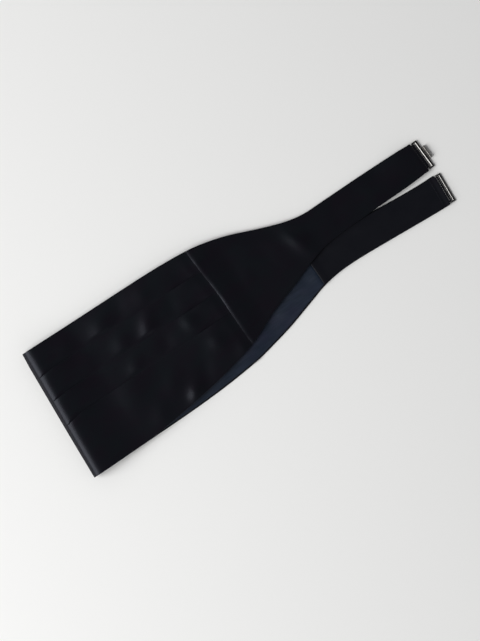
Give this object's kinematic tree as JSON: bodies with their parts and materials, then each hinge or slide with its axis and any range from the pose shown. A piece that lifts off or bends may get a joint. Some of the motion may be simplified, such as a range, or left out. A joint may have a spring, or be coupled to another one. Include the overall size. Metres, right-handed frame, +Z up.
{
  "type": "cummerbund",
  "caption": "Pleated black satin cummerbund with a navy lining, folded in half and lying flat, with a metal hook and eye on its straps.",
  "frame": {"origin": "middle of the underside of the whole part's box, on the surface the folded garment lies on", "axes": "+X from the garment's fold to its strap ends, +Y to the garment's top edge, +Z up from the surface"},
  "size_m": [0.4043, 0.1255, 0.012],
  "materials": {
    "satin": "blue-black satin with a soft sheen",
    "lining": "navy twill lining, matt",
    "facing": "black corded ribbon, matt",
    "fastener": "black-plated sheet steel, polished, with bright worn edges"
  },
  "bodies": {
    "garment": {"front_pleat_1": "satin", "front_pleat_2": "satin", "front_pleat_3": "satin", "front_pleat_4": "satin", "side_upper": "satin", "side_lower": "satin", "lining": "lining", "facing_upper": "facing", "facing_lower": "facing"},
    "hook": {"hook": "fastener"},
    "eye": {"eye": "fastener"}
  },
  "joints": [
    {"name": "hook_swing", "type": "hinge", "parent": "garment", "child": "hook", "pos_m": [0.1932, 0.01809, 0.0021], "axis": [0.0593, -0.9982, 0], "range_deg": [0, 115]},
    {"name": "eye_swing", "type": "hinge", "parent": "garment", "child": "eye", "pos_m": [0.1941, -0.01709, 0.0021], "axis": [-0.0454, -0.999, 0], "range_deg": [0, 115]}
  ]
}
